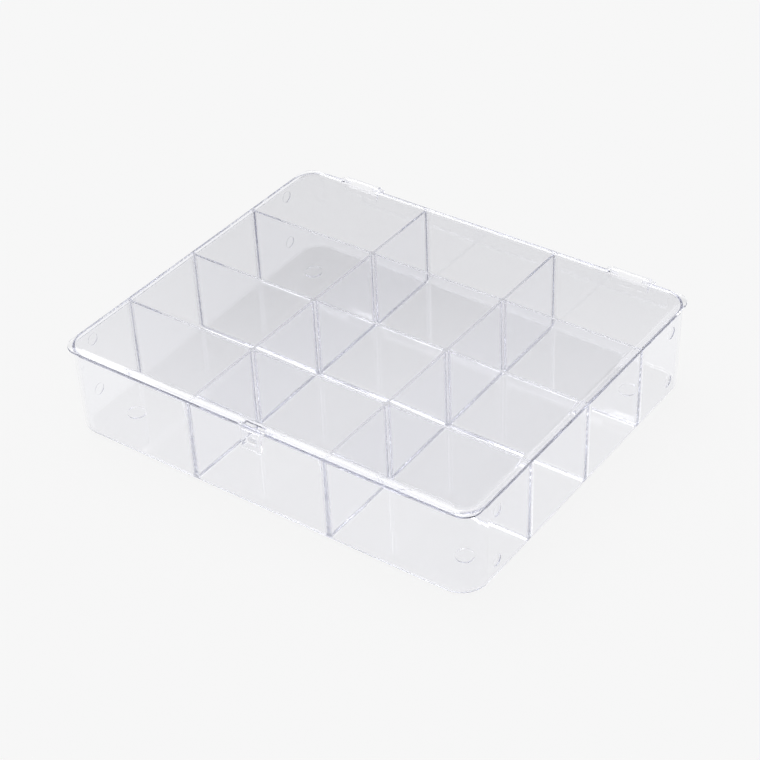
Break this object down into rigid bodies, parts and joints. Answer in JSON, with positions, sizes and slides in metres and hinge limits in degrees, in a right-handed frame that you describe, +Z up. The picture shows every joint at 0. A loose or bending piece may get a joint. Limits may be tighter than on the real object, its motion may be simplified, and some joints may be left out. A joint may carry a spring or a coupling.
{
  "type": "compartment box",
  "caption": "Clear plastic compartment case for photo cards: shallow tray with fixed dividers, thin hinged lid with a raised panel, and a small swing latch.",
  "frame": {"origin": "under the middle of the tray, on the surface that the case stands on", "axes": "+X along the long side to the right, +Y to the hinges at the back, +Z up"},
  "size_m": [0.278, 0.2416, 0.0592],
  "materials": {
    "clear_plastic": "clear injection-moulded polystyrene, polished mould finish"
  },
  "bodies": {
    "tray": {"tray": "clear_plastic", "foot_front_left": "clear_plastic", "foot_front_right": "clear_plastic", "foot_back_left": "clear_plastic", "foot_back_right": "clear_plastic"},
    "lid": {"lid": "clear_plastic"},
    "latch": {"latch": "clear_plastic"}
  },
  "joints": [
    {"name": "lid_hinge", "type": "hinge", "parent": "tray", "child": "lid", "pos_m": [0, 0.1191, 0.056], "axis": [-1, 0, 0], "range_deg": [0, 180]},
    {"name": "latch_hinge", "type": "hinge", "parent": "lid", "child": "latch", "pos_m": [0, -0.1176, 0.0579], "axis": [-1, 0, 0], "range_deg": [0, 180]}
  ]
}
